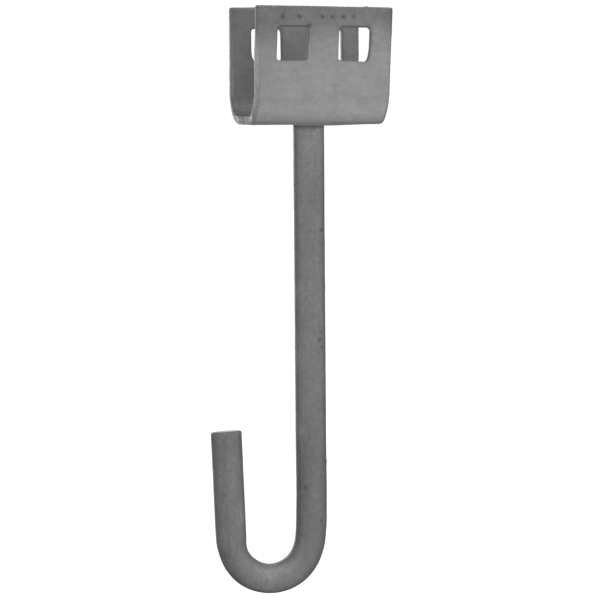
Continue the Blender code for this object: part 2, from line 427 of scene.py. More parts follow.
def loft(rings, closed_path=False):
    """Skin a list of point rings; an open path gets a centre-fanned cap at both ends."""
    shape = bmesh.new()
    rows = [[shape.verts.new(point) for point in ring] for ring in rings]
    count = len(rows[0])
    pairs = list(zip(rows, rows[1:]))
    if closed_path:
        pairs.append((rows[-1], rows[0]))
    for lower, upper in pairs:
        for i in range(count):
            j = (i + 1) % count
            shape.faces.new((lower[i], lower[j], upper[j], upper[i]))
    if not closed_path:
        for row in (rows[0], rows[-1]):
            centre = sum((vert.co for vert in row), Vector()) / count
            hub = shape.verts.new(centre)
            for i in range(count):
                shape.faces.new((row[i], row[(i + 1) % count], hub))
    return shape


def apply_modifiers(obj):
    """Replace an object's mesh by its evaluated one."""
    graph = bpy.context.evaluated_depsgraph_get()
    mesh = bpy.data.meshes.new_from_object(obj.evaluated_get(graph))
    obj.modifiers.clear()
    obj.data = mesh
    mesh.shade_smooth()


def get_points(obj):
    """The mesh's vertices as an array."""
    points = np.empty(len(obj.data.vertices) * 3)
    obj.data.vertices.foreach_get("co", points)
    return points.reshape(-1, 3)


def set_points(obj, points):
    """Move the mesh's vertices."""
    obj.data.vertices.foreach_set("co", points.astype(np.float32).ravel())
    obj.data.update()


def get_edges(obj):
    """The mesh's edges as an array of vertex pairs."""
    edges = np.empty(len(obj.data.edges) * 2, dtype=np.int64)
    obj.data.edges.foreach_get("vertices", edges)
    return edges.reshape(-1, 2)


def neighbour_mean(values, edges):
    """Each vertex's mean over its neighbours."""
    total = np.zeros_like(values)
    np.add.at(total, edges[:, 0], values[edges[:, 1]])
    np.add.at(total, edges[:, 1], values[edges[:, 0]])
    count = np.bincount(edges.ravel(), minlength=len(values)).astype(float)
    return total / (count if values.ndim == 1 else count[:, None])


def vertex_normals(obj):
    """The mesh's vertex normals as an array."""
    normals = np.empty(len(obj.data.vertices) * 3)
    obj.data.vertices.foreach_get("normal", normals)
    return normals.reshape(-1, 3)


def noise_field(points, size, seed, octaves=1):
    """Smooth noise from -1 to 1 at each point; size is the pattern's scale in metres."""
    offset = Vector((seed * 13.7, seed * 7.1, seed * 3.3))
    return np.array([noise.fractal(Vector(p) / size + offset, 0.7, 2.0, octaves) for p in points])


def add_attribute(obj, name, values):
    """Store one number per vertex for the material to read."""
    attribute = obj.data.attributes.new(name, "FLOAT", "POINT")
    attribute.data.foreach_set("value", values.astype(np.float32))


def smooth_step(values, start, end):
    """0 before start, 1 past end, eased in between."""
    share = np.clip((values - start) / (end - start), 0, 1)
    return share * share * (3 - 2 * share)


def bell(values, centre, spread):
    """1 at the centre, falling smoothly to nearly 0 at twice the spread."""
    return np.exp(-((values - centre) / spread)**2)


def hump(values, height, centre, spread):
    """A bell of a given height."""
    return height * bell(values, centre, spread)


def waves(points, layers):
    """How far the zinc stands out or in at each point, from layers of smooth noise."""
    return sum(noise_field(points, size, seed, octaves) * height
               for size, height, seed, octaves in layers)


def mark_edges(obj, strength=1.0):
    """Store how far each vertex is on an edge that stands out, for a painted highlight, or sunk
    in, for painted shade.

    Both run from 0 on a flat to 1 on a sharp edge; strength scales the ridges.
    """
    edges = get_edges(obj)
    points = get_points(obj)
    bulge = ((points - neighbour_mean(points, edges)) * vertex_normals(obj)).sum(1)
    bulge /= RIDGE_SCALE
    for _ in range(2):
        bulge = neighbour_mean(bulge, edges)
    add_attribute(obj, "ridge_highlight", np.clip(bulge, 0, 1) * strength)
    add_attribute(obj, "hollow_shade", np.clip(-bulge, 0, 1))


# ================ bracket
def overcut_corner(side_x, side_z, quarter):
    """A sharp slot corner, cut past itself by as much as the even mesh will round it off."""
    turn = 0.5 * pi * quarter
    centre_x = side_x * (SLOT_WIDTH / 2 - OVERCUT_REACH)
    centre_z = side_z * (SLOT_HEIGHT / 2 - OVERCUT_REACH)
    past = OVERCUT_REACH + OVERCUT
    return [(centre_x + OVERCUT_REACH * cos(turn), centre_z + OVERCUT_REACH * sin(turn)),
            (centre_x + side_x * past, centre_z + side_z * past),
            (centre_x - OVERCUT_REACH * sin(turn), centre_z + OVERCUT_REACH * cos(turn))]


def slot_outline(eased_side, ease, rounding):
    """A slot's outline as (x, up) round its centre; its lower corner on eased_side is drawn out.

    ease is how much of the drawn-out corner this slot has, and rounding how much of the large
    rounding of its upper corner towards +x, both from 0 to 1.
    The small corners are cut sharper than they end up, because the even mesh rounds them.
    """
    points = []
    small = SLOT_TOP_CORNER - REMESH_ROUNDING
    for side_x, side_z, quarter in ((1, 1, 0), (-1, 1, 1), (-1, -1, 2), (1, -1, 3)):
        if side_z > 0 and side_x > 0:
            width = small + rounding * (SLOT_ROUND_WIDTH - small)
            height = small + rounding * (SLOT_ROUND_HEIGHT - small)
        elif side_z > 0:
            width = height = small
        elif side_x == eased_side:
            width, height = SLOT_EASED_WIDTH * ease, SLOT_EASED_HEIGHT * ease
        else:
            points += overcut_corner(side_x, side_z, quarter)
            continue
        centre_x = side_x * (SLOT_WIDTH / 2 - width)
        centre_z = side_z * (SLOT_HEIGHT / 2 - height)
        for a, b in arc((0, 0), 1.0, 0.5 * pi * quarter, 0.5 * pi * (quarter + 1), CORNER_STEPS):
            points.append((centre_x + width * a, centre_z + height * b))
    return points


def flange_s(side, z):
    """Blank coordinate s of height z on a flange; side is -1 near, 1 far."""
    return side * (BLANK_HALF + z)


def punched_outline(side, slot_x):
    """One slot's outline with its corners shifted as the punch left them."""
    key = (side, 1 if slot_x > 0 else -1)
    shifts = SLOT_CORNER_SHIFTS[key]
    points = []
    for x, up in slot_outline(-side, SLOT_EASE[key], SLOT_ROUNDING[key]):
        new_x, new_up = x, up
        for (sign_x, sign_up), (shift_x, shift_up) in shifts.items():
            share = (0.5 + sign_x * x / SLOT_WIDTH) * (0.5 + sign_up * up / SLOT_HEIGHT)
            new_x += share * shift_x
            new_up += share * shift_up
        points.append((new_x, new_up))
    return points


def slot_places():
    """Each slot's side, -1 near or 1 far, and its centre on the blank."""
    for side in (-1, 1):
        for slot_x in (-SLOT_CENTRE_X, SLOT_CENTRE_X):
            yield side, slot_x, flange_s(side, SLOT_CENTRE_Z)


def make_blank():
    """The punched plate before folding, as a dense even mesh with softly rounded edges."""
    outline = [(x * HALF_LENGTH, s * BLANK_HALF, -PLATE / 2)
               for x, s in ((-1, -1), (1, -1), (1, 1), (-1, 1))]
    blank = new_object("channel_bracket_skin", prism(outline, (0, 0, PLATE)))

    cutters = []
    depth = PLATE + 2 * CUT_MARGIN
    for side, slot_x, slot_s in slot_places():
        outline = [(slot_x + x, slot_s + side * up, -depth / 2)
                   for x, up in punched_outline(side, slot_x)]
        cutters.append(new_object("cutter", prism(outline, (0, 0, depth))))
    last_turn = 2 * pi * (HOLE_SIDES - 1) / HOLE_SIDES
    hole = arc((0, 0), ROD_RADIUS + JOINT_GAP, 0, last_turn, HOLE_SIDES - 1)
    outline = [(BAR_OFFSET + x, s, -depth / 2) for x, s in hole]
    cutters.append(new_object("cutter", prism(outline, (0, 0, depth))))

    for cutter in cutters:
        boolean = blank.modifiers.new("punch", "BOOLEAN")
        boolean.operation = "DIFFERENCE"
        boolean.solver = "EXACT"
        boolean.object = cutter
    remesh = blank.modifiers.new("even_mesh", "REMESH")
    remesh.mode = "VOXEL"
    remesh.voxel_size = BRACKET_VOXEL
    apply_modifiers(blank)
    for cutter in cutters:
        bpy.data.objects.remove(cutter, do_unlink=True)

    points = get_points(blank)
    edges = get_edges(blank)
    for _ in range(EDGE_SMOOTH_PASSES):
        points = 0.5 * points + 0.5 * neighbour_mean(points, edges)
    set_points(blank, points)
    return blank


def fold(blank_points):
    """Fold points of the blank into the channel."""
    x, s, h = blank_points.T
    side = np.sign(s)
    reach = np.abs(s) - WEB_HALF_FLAT
    turn = np.clip(reach, 0, FOLD_LENGTH) / NEUTRAL_RADIUS
    radius = NEUTRAL_RADIUS + h
    beyond = np.maximum(reach - FOLD_LENGTH, 0)
    y = np.minimum(np.abs(s), WEB_HALF_FLAT) + radius * np.sin(turn)
    z = WEB_UNDERSIDE + OUTER_BEND_RADIUS - radius * np.cos(turn) + beyond
    return np.stack([x, side * y, z], axis=1)


def slot_gap(x, s, slot_x, slot_s):
    """Distance on the blank to a slot's outline, negative inside the slot."""
    over = np.stack([np.abs(x - slot_x) - SLOT_WIDTH / 2, np.abs(s - slot_s) - SLOT_HEIGHT / 2])
    return np.hypot(*np.maximum(over, 0)) + np.minimum(over.max(axis=0), 0)


def segment_distance(x, s, start, end):
    """Distance on the blank to the line from start to end."""
    step_x, step_s = end[0] - start[0], end[1] - start[1]
    share = ((x - start[0]) * step_x + (s - start[1]) * step_s) / (step_x**2 + step_s**2)
    share = np.clip(share, 0, 1)
    return np.hypot(x - start[0] - share * step_x, s - start[1] - share * step_s)


def dot_distances(x, s):
    """Distance to each punch dot in turn, in dot radii."""
    for dot_x in PUNCH_DOTS_X:
        yield np.hypot(x - dot_x, s - flange_s(-1, PUNCH_DOTS_Z)) / PUNCH_RADIUS


def by_end(x, start, full):
    """0 further than start from the blank's end at +x, and 1 nearer to it than full."""
    return smooth_step(x, HALF_LENGTH - start, HALF_LENGTH - full)


def by_edge(s, start, full):
    """0 further than start from the blank's free edge at +s, and 1 nearer to it than full."""
    return smooth_step(s, BLANK_HALF - start, BLANK_HALF - full)


def into_fold(s, side=1):
    """How far up a side's fold a point is, from 0 at the web to 1 at the flange."""
    return (side * s - WEB_HALF_FLAT) / FOLD_LENGTH


def is_soft_slot(side, slot_x):
    """The near slot on the hook tip's side was punched with a worn edge, and torn at a corner."""
    return side < 0 and slot_x < 0


def punch_marks(x, s, outer):
    """How far the tools have pushed the outer face in at each point of the blank."""
    sink = np.zeros_like(x)
    for side, slot_x, slot_s in slot_places():
        gap = np.maximum(slot_gap(x, s, slot_x, slot_s), 0)
        sink += SLOT_ROLL_DEPTH * np.exp(-gap / SLOT_ROLL_WIDTH)
        if is_soft_slot(side, slot_x):
            corner_x = slot_x + SLOT_WIDTH / 2
            corner_s = slot_s - SLOT_HEIGHT / 2
            right = smooth_step(x, corner_x - SOFT_ROLL_INSET, corner_x + SOFT_ROLL_OUTSET)
            sink += SOFT_ROLL_DEPTH * right * np.exp(-gap / SOFT_ROLL_WIDTH)
            tear = segment_distance(x - corner_x, s - corner_s, TEAR_START, TEAR_END)
            sink += hump(tear, TEAR_DEPTH, 0, TEAR_RADIUS)
    for away in dot_distances(x, s):
        sink += PUNCH_DEPTH * np.clip(1 - away**2, 0, 1)
        sink += hump(away, *PUNCH_RIM)
    return sink * outer


def stain_and_shade_share(x, s, outer):
    """1 where the zinc is darkened: painted shade along the slots' upper edges and at the cut
    ends, and darker round the torn corner and in the dots.
    """
    stain_and_shade = np.zeros_like(x)
    for side, slot_x, slot_s in slot_places():
        above = side * (s - slot_s) - SLOT_HEIGHT / 2
        beside = np.abs(x - slot_x) - SLOT_WIDTH / 2
        along = 1 - smooth_step(beside, -SLOT_EDGE_SHADE_INSET, 0)
        stain_and_shade = np.maximum(stain_and_shade, along * hump(above, *SLOT_EDGE_SHADE))
        if is_soft_slot(side, slot_x):
            corner_x = slot_x + SLOT_WIDTH / 2
            away = np.hypot(x - corner_x - TEAR_DARK_X, above - TEAR_DARK_UP)
            stain_and_shade = np.maximum(stain_and_shade, bell(away, 0, TEAR_DARK_RADIUS))
    for away in dot_distances(x, s):
        stain_and_shade = np.maximum(stain_and_shade, np.exp(-away**4))
    near_fold = into_fold(s, -1)
    under = 1 - smooth_step(near_fold, *LEFT_SHADE_UP_FOLD)
    on_fold = 1 - smooth_step(near_fold, *END_SHADOW_LINE_UP_FOLD)
    # Painted shade at the right end and under the near fold's left end, and a painted shadow line
    # up that fold's end.
    for end in (END_SHADE * by_end(x, *RIGHT_SHADE_REACH),
                END_SHADE * under * by_end(-x, *LEFT_SHADE_REACH),
                END_SHADOW_LINE * on_fold * by_end(-x, *END_SHADOW_LINE_REACH)):
        stain_and_shade = np.maximum(stain_and_shade, end)
    return stain_and_shade * outer


def lump_height(x, s, face):
    """Small beads of zinc scattered over both faces of the blank."""
    random = np.random.default_rng(BRACKET_LUMP_SEED)
    height = np.zeros_like(x)
    for _ in range(BRACKET_LUMPS):
        centre_x = random.uniform(-0.5, 0.5) * BRACKET_LENGTH
        centre_s = random.uniform(-1, 1) * BLANK_HALF
        radius = random.uniform(*BRACKET_LUMP_RADIUS)
        tall = random.uniform(*BRACKET_LUMP_HEIGHT)
        on_face = np.clip(face * random.choice((-1, 1)), 0, 1)
        away = ((x - centre_x)**2 + (s - centre_s)**2) / radius**2
        height += tall * on_face * np.exp(-away)
    return height


def shear_marks(along, h, across, seed, layer):
    """Grooves of the shear on a cut face; along runs with its edge, h through the plate."""
    grooves = np.stack([along * SHEAR_GROOVES_ALONG, h * SHEAR_GROOVES_THROUGH,
                        np.sign(across) * layer], axis=1)
    return noise_field(grooves, SHEAR_GROOVE_SIZE, seed, SHEAR_OCTAVES) * SHEAR_ROUGHNESS


def shape_blank(points):
    """Marks made while the plate is flat, and the swelling of its ends as it is folded."""
    x, s, h = points.T.copy()
    face = h / (PLATE / 2)
    outer = np.clip(face, 0, 1)**2

    in_fold = np.sin(pi * np.clip(into_fold(np.abs(s)), 0, 1))
    swell = -FOLD_BULGE * face * in_fold * by_end(np.abs(x), *FOLD_BULGE_REACH)
    shear = shear_marks(s, h, x, *END_SHEAR) * by_end(np.abs(x), *SHEAR_REACH)
    new_x = x + np.sign(x) * (swell + shear)

    on_edge = by_edge(np.abs(s), *SHEAR_REACH)
    shear = shear_marks(x, h, s, *EDGE_SHEAR) * on_edge
    lump = hump(x, *EDGE_LUMP) * (s < 0) * on_edge
    new_s = s + np.sign(s) * (shear + lump)

    new_h = h - punch_marks(x, s, outer) + np.sign(h) * lump_height(x, s, face)
    off_x, off_s, off_h = out_of_square(x, s, face)
    return np.stack([new_x + off_x, new_s + off_s, new_h + off_h], axis=1)


def out_of_square(x, s, face):
    """How far each point of the blank lies from a true square channel, along x, s and h."""
    near_fold, far_fold = into_fold(s, -1), into_fold(s)
    near = np.clip((-s - WEB_HALF_FLAT - FOLD_LENGTH) / FLANGE_FLAT, 0, 1)
    far = smooth_step(far_fold, 0, 1)
    right = smooth_step(x, FLARE_START, HALF_LENGTH)
    right_end = by_end(x, *RIGHT_END_REACH)
    left_end = by_end(-x, *LEFT_END_REACH)
    inner = np.clip(0.5 - 0.5 * face, 0, 1)

    off_x = NEAR_END_FLARE * near * right - FAR_END_SHORT * far * right_end
    off_x -= FAR_LEFT_OVER * far * left_end
    off_x -= hump(far_fold, *FAR_FOLD_OVER) * (s > 0) * left_end
    off_x += hump(near_fold, *NEAR_FOLD_OVER) * (s < 0) * right_end
    leaning = smooth_step(near_fold, *LEAN_UP_FOLD) * (1 - smooth_step(near, *LEAN_UP_FLANGE))
    off_x -= INNER_END_LEAN * inner * leaning * left_end

    beside = bell(x, SLOT_WIDTH / 2 - SLOT_CENTRE_X, SLOT_TAPER_WIDTH)
    beyond = np.abs(s - flange_s(1, SLOT_CENTRE_Z)) - SLOT_HEIGHT / 2
    in_slot = 1 - smooth_step(beyond, 0, SLOT_TAPER_FADE)
    off_x += SLOT_TAPER * inner * beside * in_slot

    along = 0.5 + 0.5 * x / HALF_LENGTH
    rise = NEAR_EDGE_RISE * (1 - along) - NEAR_EDGE_FALL * along
    off_s = -rise * smooth_step(near, *NEAR_EDGE_UP_FLANGE)
    off_s += FAR_EDGE_RISE * by_edge(s, *FAR_EDGE_REACH)
    return off_x, off_s, web_bow(x, s)


def web_bow(x, s):
    """How far the web sags round the bar, pulled by the weld."""
    inside = 1 - smooth_step(into_fold(np.abs(s)), *WEB_BOW_UP_FOLD)
    return inside * hump(x, *WEB_BOW)


def painted_shade_share(x, z, outer, wall):
    """1 where painted shade darkens the zinc: near the outer free edges, and inside, more towards
    the ends.
    """
    band = SHADE_BAND_DEPTH - SHADE_BAND_SLOPE * x
    outside = 1 - smooth_step(-z, SHADE_BAND_START * band, band)
    left = smooth_step(-x, 0, HALF_LENGTH)
    outside += SHADE_LEFT_LOW * left * smooth_step(-z, *SHADE_LEFT_LOW_DEPTH)
    outside += SHADE_LEFT_TOP * left * (1 - smooth_step(-z, *SHADE_LEFT_TOP_DEPTH))
    outside += by_end(x, *SHADE_RIGHT_REACH) * hump(-z, *SHADE_RIGHT)

    towards_end = (x / HALF_LENGTH)**2 * (1 - SHADE_ENDS_FADE * smooth_step(-z, *SHADE_ENDS_DEPTH))
    inside = SHADE_INSIDE + SHADE_INSIDE_ENDS * towards_end
    inside += SHADE_BOTTOM * smooth_step(-z, *SHADE_BOTTOM_DEPTH)
    return outer * outside + (1 - outer) * (1 - wall) * inside


def by_slot(x, s):
    """1 within a few millimetres of a slot's outline."""
    share = np.zeros_like(x)
    for _, slot_x, slot_s in slot_places():
        share = np.maximum(share, slot_gap(x, s, slot_x, slot_s) < SLOT_SURROUND)
    return share


def wall_shade_share(x, s, outer, wall):
    """Painted shade in the slots' walls, darkest in the far ones and the near ones' inner side,
    and lighter on the cut ends' walls.
    """
    near = NEAR_SLOT_WALL_SHADE_OUTSIDE * outer + NEAR_SLOT_WALL_SHADE_INSIDE * (1 - outer)
    share = np.where(s > 0, FAR_SLOT_WALL_SHADE, near) * by_slot(x, s)
    cut_end = CUT_END_WALL_SHADE * by_end(np.abs(x), *CUT_FACE_REACH) * (1 - end_strip(s))
    return np.maximum(share, cut_end) * wall


def end_strip(s):
    """1 along the middle of the near flange's height, where its cut end is brightest."""
    depth = BLANK_HALF - np.abs(s)
    strip = smooth_step(depth, *STRIP_TOP) * (1 - smooth_step(depth, *STRIP_BOTTOM))
    return strip * (s < 0)


def bare_and_highlight_share(x, s, h, outer):
    """1 where the cut metal is left bright and flecked at the cut ends and edge corners, and
    where painted highlight flecks run along the near flange's free edge near its ends.
    """
    up_fold = into_fold(np.abs(s))
    ends = np.maximum(hump(up_fold, *CORNER_BARE), STRIP_BARE * end_strip(s))
    ends = np.maximum(ends, WEB_BARE * (1 - smooth_step(up_fold, *WEB_BARE_UP_FOLD)))
    for start, end in END_SCRATCHES:
        away = segment_distance(s, h, start, end)
        ends = np.maximum(ends, hump(away, SCRATCH_BARE, 0, SCRATCH_WIDTH) * (x < 0))
    ends *= by_end(np.abs(x), *CUT_FACE_REACH)
    # Painted highlight flecks along the near flange's outer free edge, near both ends.
    flecks = (x < FLECKS_LEFT - HALF_LENGTH) | (x > HALF_LENGTH - FLECKS_RIGHT)
    edge = EDGE_HIGHLIGHT * by_edge(np.abs(s), *EDGE_HIGHLIGHT_REACH) * (s < 0)
    return np.maximum(ends, edge * flecks * outer)


def polish_share(s, outer):
    """1 where the folding tool has left the folds' outer skin bright."""
    up_fold = into_fold(np.abs(s))
    return smooth_step(up_fold, *FOLD_POLISH_START) * smooth_step(1 - up_fold,
                                                                  *FOLD_POLISH_END) * outer


def make_bracket():
    """The folded bracket with its zinc surface."""
    bracket = make_blank()
    wall = smooth_step(1 - np.abs(vertex_normals(bracket)[:, 2]), *WALL_SLOPE)
    flat = get_points(bracket)
    x, s, h = flat.T
    outer = smooth_step(h, 0, PLATE / 2)
    set_points(bracket, fold(shape_blank(flat)))
    normals = vertex_normals(bracket)
    points = get_points(bracket)
    set_points(bracket, points + normals * waves(points, BRACKET_WAVES)[:, None])
    # These marks hold painted shade and painted highlights as well as stains, bright cut metal
    # and polished zinc.
    add_attribute(bracket, "stain_and_shade", stain_and_shade_share(x, s, outer))
    add_attribute(bracket, "wall_shade", wall_shade_share(x, s, outer, wall))
    add_attribute(bracket, "bare_and_highlight", bare_and_highlight_share(x, s, h, outer))
    add_attribute(bracket, "polish_and_painted_light", polish_share(s, outer))
    add_attribute(bracket, "painted_shade", painted_shade_share(x, points[:, 2], outer, wall))
    # The edges' painted highlight is weaker round the slots and stronger along the near flange's
    # cut end.
    cut_end = (x < CUT_END_REACH - HALF_LENGTH) * end_strip(s) * outer
    mark_edges(bracket, 1 - SLOT_RIDGE_LOSS * by_slot(x, s) + CUT_END_RIDGE_GAIN * cut_end)
    return bracket


# ================ rod
def rod_path():
    """Yield (centre, outward, radius, half_thickness) along the bar from its stub to its tip."""
    sideways = Vector((1, 0, 0))
    for i in range(END_STEPS + 1):
        turn = 0.5 * pi * i / END_STEPS
        radius = ROD_RADIUS - ROD_END_ROUND * (1 - sin(turn))
        z = ROD_TOP - ROD_END_ROUND * (1 - cos(turn))
        yield Vector((0, 0, z)), sideways, radius, radius
    top = ROD_TOP - ROD_END_ROUND
    steps = round((top - BEND_CENTRE_Z) / ROD_STEP)
    for i in range(1, steps):
        z = top + (BEND_CENTRE_Z - top) * i / steps
        yield Vector((0, 0, z)), sideways, ROD_RADIUS, ROD_RADIUS

    bend_centre = Vector((-BEND_CENTRE_RADIUS, 0, BEND_CENTRE_Z))
    steps = round(HOOK_SWEEP * BEND_CENTRE_RADIUS / ROD_STEP)
    for i in range(steps + 1):
        turn = HOOK_SWEEP * i / steps
        outward = Vector((cos(turn), 0, -sin(turn)))
        thinning = BEND_THINNING * sin(pi * i / steps)
        centre = bend_centre + outward * (BEND_CENTRE_RADIUS - thinning / 2)
        yield centre, outward, ROD_RADIUS, ROD_RADIUS - thinning / 2

    outward = Vector((cos(HOOK_SWEEP), 0, -sin(HOOK_SWEEP)))
    along = Vector((-sin(HOOK_SWEEP), 0, -cos(HOOK_SWEEP)))
    leg_start = bend_centre + outward * BEND_CENTRE_RADIUS
    straight = LEG_LENGTH - ROD_END_ROUND
    steps = round(straight / ROD_STEP)
    for i in range(1, steps):
        yield leg_start + along * straight * i / steps, outward, ROD_RADIUS, ROD_RADIUS
    for i in range(END_STEPS + 1):
        turn = 0.5 * pi * (1 - i / END_STEPS)
        radius = ROD_RADIUS - ROD_END_ROUND * (1 - sin(turn))
        reach = LEG_LENGTH - ROD_END_ROUND * (1 - cos(turn))
        yield leg_start + along * reach, outward, radius, radius


def end_rings(centre, outward, across, count):
    """Rings that fill a flat end, from its rim inwards."""
    rim = ROD_RADIUS - ROD_END_ROUND + ZINC_COAT
    rings = []
    for i in range(1, count):
        radius = rim * (1 - i / count)
        rings.append([centre + (outward * cos(t) + across * sin(t)) * radius
                      for t in [2 * pi * k / ROD_SIDES for k in range(ROD_SIDES)]])
    return rings


def make_rod():
    """The bent bar with its zinc surface."""
    across = Vector((0, 1, 0))
    angles = [2 * pi * k / ROD_SIDES for k in range(ROD_SIDES)]
    stations = list(rod_path())
    rings = [[centre + outward * (thick + ZINC_COAT) * cos(t)
              + across * (radius + ZINC_COAT) * sin(t) for t in angles]
             for centre, outward, radius, thick in stations]
    top = end_rings(stations[0][0], stations[0][1], across, END_RINGS)[::-1]
    tip = end_rings(stations[-1][0], stations[-1][1], across, END_RINGS)
    rod = new_object("hook_rod_skin", loft(top + rings + tip))
    points = uneven_bend(slant_tip(get_points(rod)))
    points[:, 0] += sway(points)
    set_points(rod, points)
    normals = vertex_normals(rod)
    lift = waves(points, ROD_WAVES) + rod_lumps(points)
    # Wear and painted light in the hook's bottom, more painted light on its inside, and lighter
    # under the web.
    polish_and_painted_light = worn_and_lit_share(points)
    # Painted contact shadow on the bar just under the web; the dents are made darker as well.
    stain_and_shade = hump(points[:, 2], *JOINT_SHADOW)
    for depth, degrees, radius in ROD_DENTS:
        dent = near_spot(points, depth, degrees, radius)
        lift -= DENT_DEPTH * radius * dent
        stain_and_shade = np.maximum(stain_and_shade, dent**DENT_DARK_SPREAD)
    for depth, degrees, radius in ROD_RUBS:
        polish_and_painted_light = np.maximum(polish_and_painted_light, near_spot(points, depth, degrees, radius))
    for depth, degrees, radius in ROD_BEADS:
        bead = near_spot(points, depth, degrees, radius)
        lift += BEAD_HEIGHT * radius * bead
        polish_and_painted_light = np.maximum(polish_and_painted_light, BEAD_POLISH * bead)
    set_points(rod, points + normals * lift[:, None])
    add_attribute(rod, "stain_and_shade", stain_and_shade)
    add_attribute(rod, "polish_and_painted_light", polish_and_painted_light)
    add_attribute(rod, "painted_shade", rod_shade_share(points))
    mark_edges(rod)
    return rod


def near_spot(points, depth, degrees, radius):
    """1 at a spot on the shank, fading over radius; degrees are turned from the bar's front."""
    turn = radians(degrees)
    centre = (ROD_RADIUS * sin(turn), -ROD_RADIUS * cos(turn), WEB_UNDERSIDE - depth)
    return np.exp(-((points - np.array(centre))**2).sum(axis=1) / radius**2)


def sway(points):
    """Sideways shift of a bar that is welded in a little askew and bowed by its bending."""
    rise = (points[:, 2] - BEND_CENTRE_Z) / (WEB_UNDERSIDE - BEND_CENTRE_Z)
    lean = BAR_SWAY + (BAR_OFFSET - BAR_SWAY) * np.clip(rise, 0, 1)
    shift = lean * smooth_step(rise, *BAR_LEAN_RISE) + hump(points[:, 2], *BAR_BULGE)
    return shift * (points[:, 0] > -BEND_CENTRE_RADIUS)


def round_bend(points):
    """Each point's turn round the bend, its way out across the bar, and its drop.

    The turn is 0 where the bend starts, out is -1 on the bend's inside and 1 on its outside, and
    the drop is measured from the bend's centre.
    """
    x = points[:, 0] + BEND_CENTRE_RADIUS
    drop = BEND_CENTRE_Z - points[:, 2]
    turn = np.arctan2(drop, x)
    turn[turn < -pi / 2] += 2 * pi
    out = (np.hypot(x, drop) - BEND_CENTRE_RADIUS) / ROD_RADIUS
    return turn, out, drop


def uneven_bend(points):
    """Give the bend the bender's faults."""
    turn, out, drop = round_bend(points)
    swell = hump(turn, *FULL_PART) - hump(turn, *FLAT_PART)
    outside = 0.5 + 0.5 * np.clip(out, -1, 1)
    change = swell * out * smooth_step(drop, *BEND_FAULT_DROP) - hump(turn, *BEND_KINK)
    change += outside * (hump(turn, *OUTER_SWELL) - hump(turn, *OUTER_DENT))
    bent = points.copy()
    bent[:, 0] += change * np.cos(turn)
    bent[:, 2] -= change * np.sin(turn)
    return bent


def slant_tip(points):
    """Raise the front of the tip, where the shear left its end out of square."""
    on_leg = (points[:, 0] < -BEND_CENTRE_RADIUS) & (points[:, 2] > BEND_CENTRE_Z)
    height = (points[:, 2] - BEND_CENTRE_Z) / LEG_LENGTH
    front = np.clip(0.5 - 0.5 * points[:, 1] / ROD_RADIUS, 0, 1)
    slanted = points.copy()
    slanted[:, 2] += TIP_SLANT * front * smooth_step(height, *TIP_SLANT_UP_LEG) * on_leg
    return slanted


def worn_and_lit_share(points):
    """1 where the bar is brighter: wear and painted light in the hook's bottom, more painted
    light on its inside, rubbed low on the leg, and lighter under the web.
    """
    turn, out, drop = round_bend(points)
    saddle = bell(turn, SADDLE_TURN, SADDLE_SPREAD) * smooth_step(drop, *SADDLE_DROP)
    saddle *= SADDLE_WEAR_AND_LIGHT + SADDLE_INSIDE_LIGHT * smooth_step(-out, *SADDLE_INSIDE)
    rub = points - (ROD_RADIUS * sin(LEG_RUB_TURN) - 2 * BEND_CENTRE_RADIUS,
                    -ROD_RADIUS * cos(LEG_RUB_TURN), BEND_CENTRE_Z + LEG_RUB_HEIGHT)
    leg = np.exp(-((rub / LEG_RUB_SPREAD)**2).sum(axis=1))
    below_web = WEB_UNDERSIDE - points[:, 2]
    top = bell(below_web, 0, TOP_LIGHTER_SPREAD) * (below_web > -PLATE)
    return np.maximum(np.maximum(saddle, leg), top)


def rod_shade_share(points):
    """1 where the bar is darkest: painted shade on the bend's underside, and darker towards the
    tip and low on the shank.
    """
    _, out, drop = round_bend(points)
    up_leg = smooth_step(-drop / LEG_LENGTH, *DARKER_UP_LEG_RISE)
    on_leg = points[:, 0] < -BEND_CENTRE_RADIUS
    painted_shade = np.where(on_leg, DARKER_UP_LEG * up_leg, hump(points[:, 2], *DARKER_SHANK))
    underside = smooth_step(out, *SHADE_UNDERSIDE_OUT) * smooth_step(drop, *SHADE_UNDERSIDE_DROP)
    return painted_shade + SHADE_UNDERSIDE * underside


def rod_lumps(points):
    """Small beads and short runs of zinc on the bar."""
    random = np.random.default_rng(ROD_LUMP_SEED)
    height = np.zeros(len(points))
    shown = points[points[:, 2] < WEB_UNDERSIDE]
    for _ in range(ROD_LUMPS):
        centre = shown[random.integers(len(shown))]
        radius = random.uniform(*ROD_LUMP_RADIUS)
        stretch = random.choice(ROD_LUMP_STRETCH)
        tall = random.uniform(*ROD_LUMP_HEIGHT)
        away = (points - centre) / (radius, radius, radius * stretch)
        height += tall * np.exp(-(away**2).sum(axis=1))
    return height


# ================ weld
def inner_surface_z(y):
    """Height of the channel's inside surface: flat along the web, then rising with the folds."""
    into_fold = max(0.0, abs(y) - WEB_HALF_FLAT)
    return WEB_TOP + INNER_BEND_RADIUS - sqrt(INNER_BEND_RADIUS**2 - into_fold**2)


